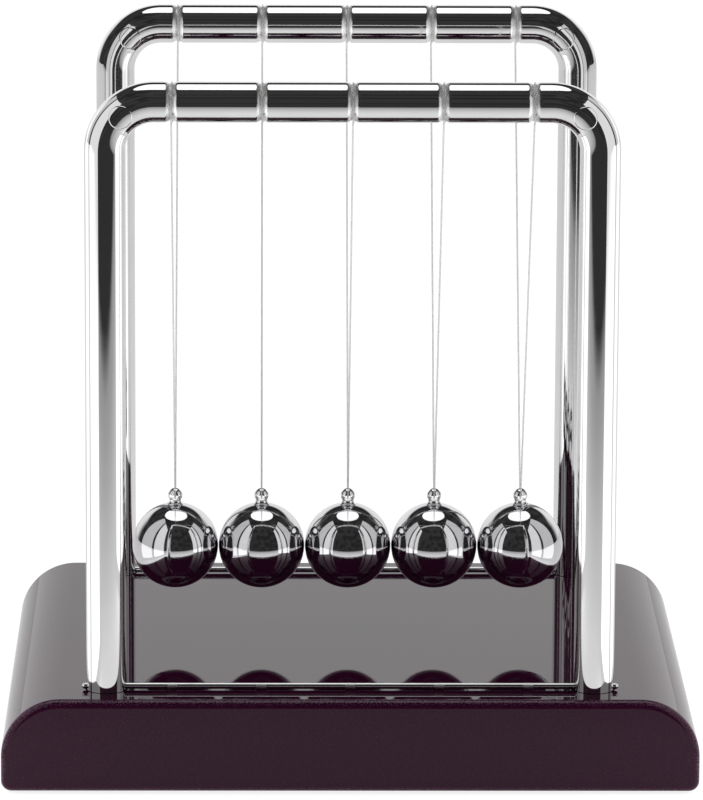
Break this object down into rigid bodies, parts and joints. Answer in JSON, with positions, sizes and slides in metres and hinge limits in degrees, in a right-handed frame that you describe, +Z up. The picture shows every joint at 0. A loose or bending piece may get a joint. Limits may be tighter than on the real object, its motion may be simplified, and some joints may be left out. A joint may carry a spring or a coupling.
{
  "type": "newtons cradle",
  "caption": "Desk toy with steel balls hung in a row on V-shaped lines between two chrome tube frames that stand on a gloss base with rounded shoulders.",
  "frame": {"origin": "middle of the base's footprint, on the surface that the feet stand on", "axes": "+X along the row of balls to the right, +Y from the front frame to the rear frame, +Z up"},
  "size_m": [0.173, 0.142, 0.1768],
  "materials": {
    "base_lacquer": "high gloss plum lacquer",
    "plate_plastic": "matt moulded black",
    "rubber": "matt",
    "screw_steel": "zinc plated",
    "plug_plastic": "moulded",
    "frame_chrome": "mirror polished",
    "line_nylon": "clear monofilament",
    "ball_steel": "mirror polished",
    "eyelet_chrome": "bright plated"
  },
  "bodies": {
    "stand": {"base_shell": "base_lacquer", "bottom_plate": "plate_plastic", "foot_front_left": "rubber", "foot_front_right": "rubber", "foot_rear_left": "rubber", "foot_rear_right": "rubber", "plate_screw_front_left": "screw_steel", "plate_screw_front_right": "screw_steel", "plate_screw_rear_left": "screw_steel", "plate_screw_rear_right": "screw_steel", "leg_screw_front_left": "screw_steel", "leg_screw_front_right": "screw_steel", "leg_screw_rear_left": "screw_steel", "leg_screw_rear_right": "screw_steel", "leg_plug_front_left": "plug_plastic", "leg_plug_front_right": "plug_plastic", "leg_plug_rear_left": "plug_plastic", "leg_plug_rear_right": "plug_plastic", "frame_front": "frame_chrome", "tie_rod_front": "frame_chrome", "bend_plug_front_left": "frame_chrome", "bend_plug_front_right": "frame_chrome", "line_wrap_front_1": "line_nylon", "line_wrap_front_2": "line_nylon", "line_wrap_front_3": "line_nylon", "line_wrap_front_4": "line_nylon", "line_wrap_front_5": "line_nylon", "frame_rear": "frame_chrome", "tie_rod_rear": "frame_chrome", "bend_plug_rear_left": "frame_chrome", "bend_plug_rear_right": "frame_chrome", "line_wrap_rear_1": "line_nylon", "line_wrap_rear_2": "line_nylon", "line_wrap_rear_3": "line_nylon", "line_wrap_rear_4": "line_nylon", "line_wrap_rear_5": "line_nylon"},
    "pendulum_1": {"ball_1": "ball_steel", "eyelet_1": "eyelet_chrome", "line_1": "line_nylon"},
    "pendulum_2": {"ball_2": "ball_steel", "eyelet_2": "eyelet_chrome", "line_2": "line_nylon"},
    "pendulum_3": {"ball_3": "ball_steel", "eyelet_3": "eyelet_chrome", "line_3": "line_nylon"},
    "pendulum_4": {"ball_4": "ball_steel", "eyelet_4": "eyelet_chrome", "line_4": "line_nylon"},
    "pendulum_5": {"ball_5": "ball_steel", "eyelet_5": "eyelet_chrome", "line_5": "line_nylon"}
  },
  "joints": [
    {"name": "pendulum_1_swing", "type": "hinge", "parent": "stand", "child": "pendulum_1", "pos_m": [-0.0442, 0, 0.16685], "axis": [0, 1, 0], "range_deg": [0, 45]},
    {"name": "pendulum_2_swing", "type": "hinge", "parent": "stand", "child": "pendulum_2", "pos_m": [-0.0221, 0, 0.16685], "axis": [0, 1, 0], "range_deg": [-0.02, 0.02]},
    {"name": "pendulum_3_swing", "type": "hinge", "parent": "stand", "child": "pendulum_3", "pos_m": [0, 0, 0.16685], "axis": [0, 1, 0], "range_deg": [-0.02, 0.02]},
    {"name": "pendulum_4_swing", "type": "hinge", "parent": "stand", "child": "pendulum_4", "pos_m": [0.0221, 0, 0.16685], "axis": [0, 1, 0], "range_deg": [-0.02, 0.02]},
    {"name": "pendulum_5_swing", "type": "hinge", "parent": "stand", "child": "pendulum_5", "pos_m": [0.0442, 0, 0.16685], "axis": [0, -1, 0], "range_deg": [0, 45]}
  ]
}
